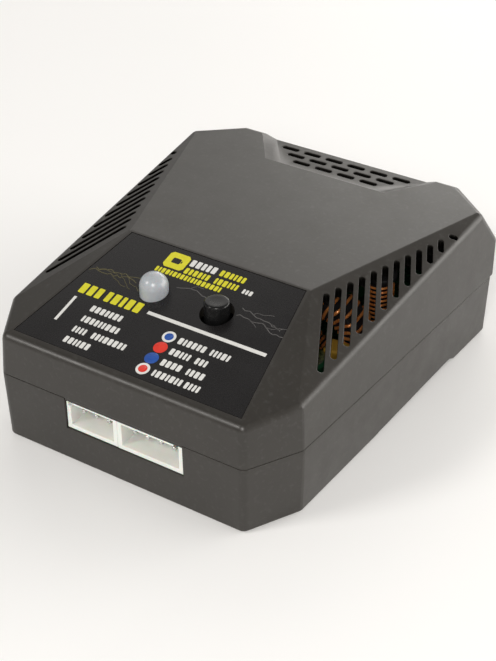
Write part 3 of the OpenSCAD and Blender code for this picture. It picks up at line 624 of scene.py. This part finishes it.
def ring_turns(gauge=0.56 * MM, bore=4.0 * MM, turns=26, per_turn=28):
    """Slanted turns round the ring core, in rounded rectangles, open at the foot."""
    low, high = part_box("ring_winding")
    centre = (low + high) / 2
    core_low, core_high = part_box("ring_core")
    r_out = (core_high.x - core_low.x) / 2 + gauge / 2
    r_in = bore - gauge / 2
    r_mid = (r_out + r_in) / 2
    half = (core_high.y - core_low.y) / 2 + gauge / 2
    start, sweep, slant = -70, 320, math.radians(15)
    corner = 5
    path = []
    for i in range(turns * per_turn + 1):
        around = math.radians(start + sweep * i / (turns * per_turn))
        phase = 2 * math.pi * i / per_turn
        u, v = math.cos(phase), math.sin(phase)
        bulge = (abs(u) ** corner + abs(v) ** corner) ** (-1 / corner)
        radius = r_mid + (r_out - r_in) / 2 * max(-1.0, min(1.0, u * bulge))
        y = half * max(-1.0, min(1.0, v * bulge))
        around -= slant * (radius - r_mid) / (r_out - r_in)
        path.append(Vector((centre.x + radius * math.sin(around), centre.y + y,
                            centre.z - radius * math.cos(around))))
    piece("ring_turns", wire(path, gauge / 2 * 0.97), "case", "copper", "ring_winding", angle=60.0)


def choke_turns(gauge=0.4 * MM, rise=0.82 * MM, per_turn=32):
    """One open layer of turns up the rod choke."""
    low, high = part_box("line_choke_winding")
    centre = (low + high) / 2
    coil = (high.x - low.x) / 2 - gauge / 2
    turns = int((high.z - low.z - gauge) / rise)
    path = [Vector((centre.x + coil * math.cos(2 * math.pi * i / per_turn),
                    centre.y + coil * math.sin(2 * math.pi * i / per_turn),
                    low.z + gauge / 2 + rise * i / per_turn)) for i in range(turns * per_turn + 1)]
    piece("choke_turns", wire(path, gauge / 2 * 0.98), "case", "copper", "line_choke_winding",
          angle=60.0)


ring_turns()
choke_turns()


# ---------------------------------------------------------------- everything else

# Radius of each plain inner part's hard edges, in millimetres
EASED = {
    "transformer_core": 0.25, "transformer_bobbin": 0.1, "transformer_tape": 0.35,
    "film_capacitor": 0.35, "switch_body": 0.12, "controller_chip": 0.08, "balance_chips": 0.08,
    "bleed_resistors": 0.08, "heatsink": 0.12, "case_screws": 0.15, "ring_base": 0.2,
    "circuit_board": 0.08, "inrush_disc": 0.5, "bridge_rectifier": 0.2, "power_transistor": 0.2,
    "line_choke_core": 0.2, "ring_core": 0.3, "fuse": 0.2,
}
for node in sorted(n for n, o in nodes.items() if not o.hide_render):
    slot = slot_of(node)
    body = nodes[node]["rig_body"]
    if node in EASED:
        refined(node, node + "_eased", slot, EASED[node], 50.0, 2, body)
    else:
        paint(nodes[node], slot)


# ---------------------------------------------------------------- stage

def soft_light(name, at, target, size, power):
    """A rectangular area light, placed and aimed in metres."""
    light = bpy.data.lights.new(name, "AREA")
    light.shape = "RECTANGLE"
    light.size, light.size_y = size
    light.energy = power
    light.color = (1.0, 0.972, 0.93)
    obj = bpy.data.objects.new(name, light)
    obj.location = at
    obj.rotation_euler = (Vector(target) - Vector(at)).to_track_quat("-Z", "Y").to_euler()
    bpy.context.scene.collection.objects.link(obj)


def pale_floor():
    """A wide matt floor under the charger."""
    bm = bmesh.new()
    bmesh.ops.create_grid(bm, x_segments=2, y_segments=2, size=3.0)
    mesh = bpy.data.meshes.new("floor")
    bm.to_mesh(mesh)
    bm.free()
    floor = bpy.data.objects.new("floor", mesh)
    bpy.context.scene.collection.objects.link(floor)
    mesh.materials.append(surface("pale floor", (0.93, 0.93, 0.93), (0.95, 0.95, 0.95),
                                  (0.6, 0.7), 3.0, 800.0, 0.00001))


def studio():
    """Even warm-white surroundings."""
    world = bpy.data.worlds.new("studio")
    world.use_nodes = True
    sky = world.node_tree.nodes["Background"]
    sky.inputs["Color"].default_value = (1.0, 0.985, 0.965, 1)
    sky.inputs["Strength"].default_value = 0.27
    bpy.context.scene.world = world


def main_camera(bearing, height, distance, target):
    """A camera at a bearing and height in degrees, and a distance in metres, from its target."""
    turn, lift = math.radians(bearing), math.radians(height)
    back = Vector((math.sin(turn) * math.cos(lift), -math.cos(turn) * math.cos(lift),
                   math.sin(lift)))
    camera = bpy.data.objects.new("camera", bpy.data.cameras.new("camera"))
    camera.location = target + back * distance
    camera.rotation_euler = (-back).to_track_quat("-Z", "Y").to_euler()
    camera.data.lens = 77.07
    camera.data.sensor_width = 36.0
    camera.data.sensor_fit = "AUTO"
    camera.data.clip_start = 0.01
    bpy.context.scene.collection.objects.link(camera)
    bpy.context.scene.camera = camera


pale_floor()
studio()
soft_light("front", (0.28, -0.55, 0.45), (0, 0, 0.01), (0.25, 0.25), 3.0)
soft_light("right", (0.46, 0.34, 0.11), (0.05, 0.03, 0), (0.7, 0.4), 4.0)
soft_light("sweep", (-0.31, 0.49, 0.40), (0, 0, 0.02), (0.6, 0.5), 0.85)
soft_light("left", (-0.36, -0.50, 0.46), (0, -0.02, 0.02), (0.16, 0.16), 1.8)
soft_light("rear", (-0.07, 0.62, 0.20), (0, 0.03, 0.02), (0.5, 0.12), 1.0)
main_camera(32.26, 34.56, 247.77 * MM, Vector((0.15, -0.91, 7.73)) * MM)
bpy.context.scene.view_settings.view_transform = "Standard"
